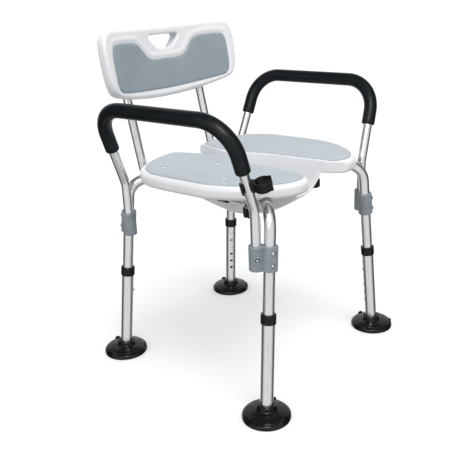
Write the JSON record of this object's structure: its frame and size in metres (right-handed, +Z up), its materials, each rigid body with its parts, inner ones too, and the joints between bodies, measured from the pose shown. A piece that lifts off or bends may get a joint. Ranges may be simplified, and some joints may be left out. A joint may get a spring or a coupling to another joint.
{
  "type": "shower_chair",
  "caption": "Shower chair with a two-lobed padded seat, padded backrest, lift-out armrests, height-adjustable legs on suction feet and a shower clip",
  "frame": {"origin": "on the floor, midway between the four feet", "axes": "+Z up, +Y to the back of the chair, +X to the sitter's left"},
  "size_m": [0.544, 0.5, 0.6998],
  "materials": {
    "bright_aluminium": "anodised, satin bright",
    "white_plastic": "moulded, semi-gloss",
    "seat_foam": "closed-cell foam with fine lines",
    "back_foam": "closed-cell foam with fine dots",
    "grip_foam": "smooth skinned foam",
    "grey_plastic": "moulded, satin",
    "foot_rubber": "glossy suction rubber",
    "black_plastic": "moulded, semi-gloss",
    "plated_steel": "zinc plated"
  },
  "bodies": {
    "frame": {"side_tube_left": "bright_aluminium", "side_tube_right": "bright_aluminium", "seat_shell": "white_plastic", "seat_pad_left": "seat_foam", "seat_pad_right": "seat_foam", "seat_screws": "plated_steel", "tube_saddles": "black_plastic", "post_guides": "black_plastic", "clamp_front_left": "grey_plastic", "clamp_front_right": "grey_plastic", "clamp_rear_left": "grey_plastic", "clamp_rear_right": "grey_plastic", "clamp_rivets": "plated_steel", "leg_button_springs": "plated_steel"},
    "leg_front_left": {"leg_tube_front_left": "bright_aluminium", "leg_collar_front_left": "black_plastic", "foot_front_left": "foot_rubber", "foot_washer_front_left": "plated_steel"},
    "leg_front_right": {"leg_tube_front_right": "bright_aluminium", "leg_collar_front_right": "black_plastic", "foot_front_right": "foot_rubber", "foot_washer_front_right": "plated_steel"},
    "leg_rear_left": {"leg_tube_rear_left": "bright_aluminium", "leg_collar_rear_left": "black_plastic", "foot_rear_left": "foot_rubber", "foot_washer_rear_left": "plated_steel"},
    "leg_rear_right": {"leg_tube_rear_right": "bright_aluminium", "leg_collar_rear_right": "black_plastic", "foot_rear_right": "foot_rubber", "foot_washer_rear_right": "plated_steel"},
    "leg_pin_front_left": {"leg_button_front_left": "plated_steel"},
    "leg_pin_front_right": {"leg_button_front_right": "plated_steel"},
    "leg_pin_rear_left": {"leg_button_rear_left": "plated_steel"},
    "leg_pin_rear_right": {"leg_button_rear_right": "plated_steel"},
    "armrest_left": {"arm_tube_left": "bright_aluminium", "arm_grip_left": "grip_foam", "arm_springs_left": "plated_steel"},
    "armrest_right": {"arm_tube_right": "bright_aluminium", "arm_grip_right": "grip_foam", "arm_springs_right": "plated_steel"},
    "arm_pin_front_left": {"arm_button_front_left": "plated_steel"},
    "arm_pin_front_right": {"arm_button_front_right": "plated_steel"},
    "arm_pin_rear_left": {"arm_button_rear_left": "plated_steel"},
    "arm_pin_rear_right": {"arm_button_rear_right": "plated_steel"},
    "backrest": {"back_shell": "white_plastic", "back_pad": "back_foam", "back_post_left": "bright_aluminium", "back_post_right": "bright_aluminium", "post_plugs": "black_plastic", "back_screws": "plated_steel"},
    "shower_clip": {"holder_clip": "black_plastic"},
    "hand_screw_left": {"seat_knob_left": "black_plastic", "knob_stud_left": "plated_steel", "knob_washer_left": "grey_plastic"},
    "hand_screw_right": {"seat_knob_right": "black_plastic", "knob_stud_right": "plated_steel", "knob_washer_right": "grey_plastic"}
  },
  "joints": [
    {"name": "leg_height_front_left", "type": "slide", "parent": "frame", "child": "leg_front_left", "axis": [0.1062, -0.026, -0.994], "range_m": [-0.08, 0.02], "deforming": ["leg_button_front_left"]},
    {"name": "leg_height_front_right", "type": "slide", "parent": "frame", "child": "leg_front_right", "axis": [-0.1062, -0.026, -0.994], "range_m": [-0.08, 0.02], "deforming": ["leg_button_front_right"]},
    {"name": "leg_height_rear_left", "type": "slide", "parent": "frame", "child": "leg_rear_left", "axis": [0.0556, 0.0957, -0.9939], "range_m": [-0.08, 0.02], "deforming": ["leg_button_rear_left"]},
    {"name": "leg_height_rear_right", "type": "slide", "parent": "frame", "child": "leg_rear_right", "axis": [-0.0556, 0.0957, -0.9939], "range_m": [-0.08, 0.02], "deforming": ["leg_button_rear_right"]},
    {"name": "leg_button_press_front_left", "type": "slide", "parent": "frame", "child": "leg_pin_front_left", "axis": [0.7021, -0.7059, 0.0935], "range_m": [0, 0.004], "stiffness_N_per_m": 900, "springref_m": -0.001, "deforming": ["leg_button_springs"]},
    {"name": "leg_button_press_front_right", "type": "slide", "parent": "frame", "child": "leg_pin_front_right", "axis": [-0.7021, -0.7059, 0.0935], "range_m": [0, 0.004], "stiffness_N_per_m": 900, "springref_m": -0.001, "deforming": ["leg_button_springs"]},
    {"name": "leg_button_press_rear_left", "type": "slide", "parent": "frame", "child": "leg_pin_rear_left", "axis": [0.7041, 0.702, 0.107], "range_m": [0, 0.004], "stiffness_N_per_m": 900, "springref_m": -0.001, "deforming": ["leg_button_springs"]},
    {"name": "leg_button_press_rear_right", "type": "slide", "parent": "frame", "child": "leg_pin_rear_right", "axis": [-0.7041, 0.702, 0.107], "range_m": [0, 0.004], "stiffness_N_per_m": 900, "springref_m": -0.001, "deforming": ["leg_button_springs"]},
    {"name": "arm_lift_left", "type": "slide", "parent": "frame", "child": "armrest_left", "axis": [0, 0, 1], "range_m": [0, 0.045], "deforming": ["arm_button_front_left", "arm_button_rear_left"]},
    {"name": "arm_lift_right", "type": "slide", "parent": "frame", "child": "armrest_right", "axis": [0, 0, 1], "range_m": [0, 0.045], "deforming": ["arm_button_front_right", "arm_button_rear_right"]},
    {"name": "arm_button_press_front_left", "type": "slide", "parent": "armrest_left", "child": "arm_pin_front_left", "axis": [-0.7071, 0.7071, 0], "range_m": [0, 0.0058], "stiffness_N_per_m": 700, "springref_m": -0.001, "deforming": ["arm_springs_left"]},
    {"name": "arm_button_press_front_right", "type": "slide", "parent": "armrest_right", "child": "arm_pin_front_right", "axis": [0.7071, 0.7071, 0], "range_m": [0, 0.0058], "stiffness_N_per_m": 700, "springref_m": -0.001, "deforming": ["arm_springs_right"]},
    {"name": "arm_button_press_rear_left", "type": "slide", "parent": "armrest_left", "child": "arm_pin_rear_left", "axis": [-0.7071, -0.7071, 0], "range_m": [0, 0.0058], "stiffness_N_per_m": 700, "springref_m": -0.001, "deforming": ["arm_springs_left"]},
    {"name": "arm_button_press_rear_right", "type": "slide", "parent": "armrest_right", "child": "arm_pin_rear_right", "axis": [0.7071, -0.7071, 0], "range_m": [0, 0.0058], "stiffness_N_per_m": 700, "springref_m": -0.001, "deforming": ["arm_springs_right"]},
    {"name": "backrest_slide", "type": "slide", "parent": "frame", "child": "backrest", "axis": [0, 1, 0], "range_m": [0, 0.07]},
    {"name": "clip_turn", "type": "hinge", "parent": "armrest_right", "child": "shower_clip", "pos_m": [-0.21635, -0.1754, 0.45], "axis": [-0.3379, 0.017, 0.941], "range_deg": [-60, 60]},
    {"name": "hand_screw_turn_left", "type": "hinge", "parent": "frame", "child": "hand_screw_left", "pos_m": [0.1145, -0.104, 0.353], "axis": [0, 0, 1], "continuous": true},
    {"name": "hand_screw_turn_right", "type": "hinge", "parent": "frame", "child": "hand_screw_right", "pos_m": [-0.1145, -0.104, 0.353], "axis": [0, 0, 1], "continuous": true}
  ]
}
